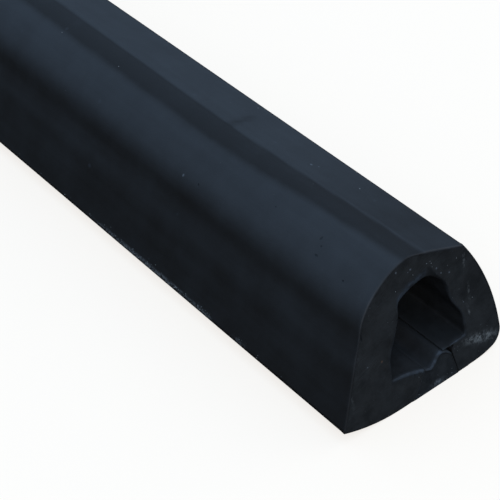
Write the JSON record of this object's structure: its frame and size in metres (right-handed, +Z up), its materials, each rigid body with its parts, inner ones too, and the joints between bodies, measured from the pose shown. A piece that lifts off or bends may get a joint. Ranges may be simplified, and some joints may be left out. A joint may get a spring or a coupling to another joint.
{
  "type": "cable protector ramp",
  "caption": "Thick rubber arch laid over a cable on the ground, with a bell-shaped channel, a flexing crown and a wedge strip that closes the slit in its base.",
  "frame": {"origin": "centre of the ramp's outline on the ground", "axes": "+Y runs along the cable, away from the leaning front end; +Z is up; +X is to the right as seen from the front end"},
  "size_m": [0.1098, 0.6, 0.078],
  "materials": {
    "arch_rubber": "matt black rubber with a faint blue-grey bloom",
    "strip_rubber": "matt black rubber"
  },
  "bodies": {
    "left_half": {"left_wall": "arch_rubber", "left_lip": "arch_rubber", "crown_hinge": "arch_rubber"},
    "right_half": {"right_wall": "arch_rubber", "right_lip": "arch_rubber"},
    "strip": {"closing_strip": "strip_rubber"}
  },
  "joints": [
    {"name": "crown_flex", "type": "hinge", "parent": "left_half", "child": "right_half", "pos_m": [0.01, 0, 0.07085], "axis": [0, -1, 0], "range_deg": [0, 20], "stiffness_Nm_per_rad": 9},
    {"name": "strip_slide", "type": "slide", "parent": "left_half", "child": "strip", "axis": [0, -1, 0], "range_m": [0, 0.2]}
  ]
}
